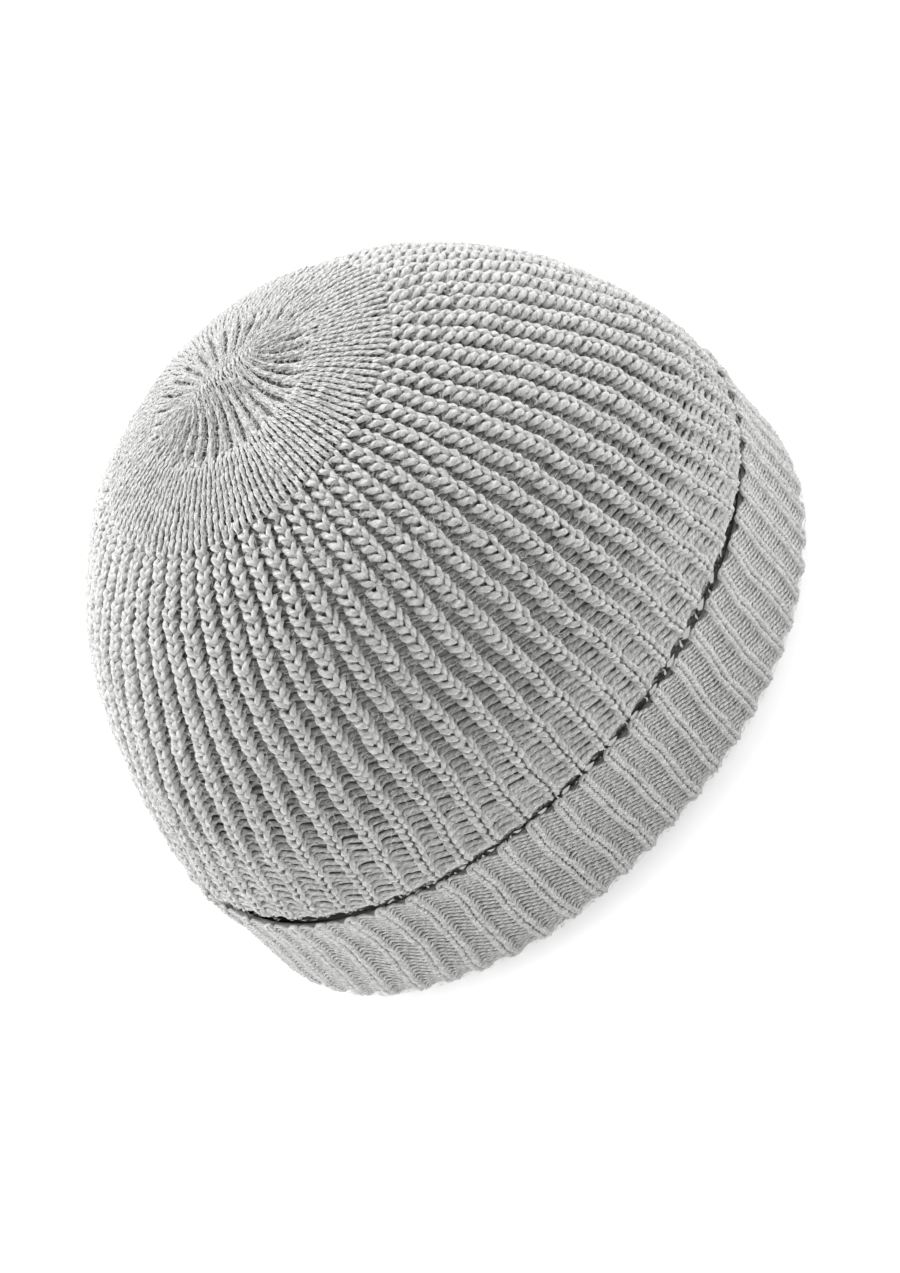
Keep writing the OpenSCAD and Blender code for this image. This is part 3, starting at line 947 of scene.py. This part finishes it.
# ---------------------------------------------------------------- fuzz
def fuzz(name, run, low, high, share_at, count, lift=0.55):
    """Short loose fibres lying over the cloth: each goes a few millimetres in a direction of its own and
    bows up.

    At t from 0 to 1 it stands length (t - 1/2) along its heading, curl (t - 1/2)^2 aside, and 4 lift t (1 -
    t) up, with a small tilt of its own."""
    grid = np.linspace(low, high, 200)
    weight = np.cumsum(run.at(grid)[0] + 2)
    s = np.interp(rng.random(count) * weight[-1], weight, grid)[:, None]
    share = rng.random(count)[:, None]
    heading = rng.random(count)[:, None] * TAU
    length = 1.6 + 2.6 * rng.random(count)[:, None] ** 2
    curl = 2.4 * rng.standard_normal(count)[:, None]
    t = np.array([0, 0.5, 1.0])[None]
    ahead = length * (t - 0.5)
    aside = curl * (t - 0.5) ** 2
    across = ahead * np.cos(heading) - aside * np.sin(heading)
    along = ahead * np.sin(heading) + aside * np.cos(heading)
    rise = (lift * rng.random(count)[:, None] * 4 * t * (1 - t)
            + 0.5 * rng.standard_normal(count)[:, None] * (t - 0.5))
    start = -0.75 + 0.5 * rng.random(count)[:, None]
    mean_r = np.maximum(run.at(s)[0], 3.0)
    share, s, stand = share_at((share + across / (mean_r * OVAL_LENGTH)) % 1, s + along)
    point, normal = lay(run, share, np.minimum(s, run.length), start + rise + stand)
    radius = np.broadcast_to(np.array([0.03, 0.075, 0.03]), share.shape)
    piece = tubes(name, point, normal, radius, sides=3, closed=False, twist_mm=50.0, oval_by=0.0)
    return dress(piece, FIBRE)


fuzz("fuzz_body", BODY, BODY_LOW, BODY_TOP, hang, 11000)
fuzz("fuzz_crown", BODY, BODY_TOP, BODY.length - 0.5, crown_share, 3500, 0.45)
fuzz("fuzz_cuff", BRIM, 34.0, BRIM.length, cuff_share, 6000, 0.5)


# ---------------------------------------------------------------- the fabric's inner face
# How far in it lies, and how near the middle of the crown it goes
INSIDE = 3.9
INSIDE_END_R = 13.0


def inner_face(share, s):
    """The body's own lie, one thickness of cloth further in."""
    share, s, lift = hang(share, s)
    return share, s, lift - INSIDE


inside_s = np.arange(BODY_LOW + 1.5, BODY.where_r(INSIDE_END_R), INSIDE_COURSE)
inside_pitch = BODY.at(inside_s)[0] * OVAL_LENGTH / RIBS
inside_look = dict(PLAIN, foot=0.1 * inside_pitch, top=0.19 * inside_pitch, leg_r=0.35 + 0.06 * inside_pitch,
                   thin_r=0.8, bow=0.1, dip=-1.6, slant=-0.6, foot_y=-1.6, leg_y=0.1, top_y=1.7,
                   head_y=2.3, deep=0.6, foot_deep=0.1, top_deep=0.4, head_deep=0.9)
point, normal, radius = knit(BODY, inside_s, RIBS, inner_face, inside_look, fine=0)
knit_pieces("body_knit_inside", point, normal, radius, WOOL, 60, sides=3)


# ---------------------------------------------------------------- camera, floor and light
def aim(obj, place, target, up):
    """Turns an object so that it looks from a place at a target, with a direction up in its view."""
    back = (Vector(place) - Vector(target)).normalized()
    right = Vector(up).cross(back).normalized()
    top = back.cross(right)
    obj.matrix_world = Matrix.Translation(Vector(place)) @ Matrix((right, top, back)).transposed().to_4x4()


camera = bpy.data.objects.new("camera", bpy.data.cameras.new("camera"))
bpy.context.scene.collection.objects.link(camera)
camera.data.lens = 114.1
camera.data.sensor_width = 36.0
camera.data.clip_start = 0.01
camera.data.clip_end = 20.0
CAMERA_AT = (-0.1573, -0.8369, 0.7975)
CAMERA_TARGET = (-0.00661, -0.01506, 0.04772)
CAMERA_UP = (0.7682, 0.3489, 0.5368)
aim(camera, CAMERA_AT, CAMERA_TARGET, CAMERA_UP)
bpy.context.scene.camera = camera

floor_mesh = bpy.data.meshes.new("floor")
FLOOR_HALF = 6
FLOOR_Z = -0.0005
floor_corners = [(FLOOR_HALF * x, FLOOR_HALF * y, FLOOR_Z) for x, y in ((-1, -1), (1, -1), (1, 1), (-1, 1))]
floor_mesh.from_pydata(floor_corners, [], [(0, 1, 2, 3)])
floor = bpy.data.objects.new("floor", floor_mesh)
bpy.context.scene.collection.objects.link(floor)
floor_mat, _, _, floor_shader = new_finish("floor")
floor_shader.inputs["Base Color"].default_value = (0.9, 0.9, 0.9, 1)
floor_shader.inputs["Roughness"].default_value = 1.0
floor_shader.inputs["Specular IOR Level"].default_value = 0.0
floor_shader.inputs["Emission Color"].default_value = (1, 1, 1, 1)
floor_shader.inputs["Emission Strength"].default_value = 0.45
floor_mesh.materials.append(floor_mat)


def soft_light(name, place, target, size, power):
    """A round lamp of a width in metres and a power in watts, aimed at a target."""
    data = bpy.data.lights.new(name, "AREA")
    data.shape = "DISK"
    data.size = size
    data.energy = power
    obj = bpy.data.objects.new(name, data)
    bpy.context.scene.collection.objects.link(obj)
    aim(obj, place, target, (0, 0, 1))
    return obj


soft_light("key", (0.1, 0.55, 1.3), (0, 0, 0.08), 1.2, 24.5)
soft_light("side", (-1.25, 0.6, 0.6), (0, 0, 0.08), 1.4, 14.0)
soft_light("front", (1.3, -0.1, 0.4), (0, 0, 0.08), 1.2, 10.5)
soft_light("fill", (0.3, -1.5, 0.4), (0, 0, 0.06), 1.0, 1.8)

world = bpy.data.worlds.new("studio")
world.use_nodes = True
world.node_tree.nodes["Background"].inputs["Color"].default_value = (1, 1, 1, 1)
world.node_tree.nodes["Background"].inputs["Strength"].default_value = 0.36
bpy.context.scene.world = world
bpy.context.scene.view_settings.view_transform = "Standard"
bpy.context.scene.view_settings.look = "None"
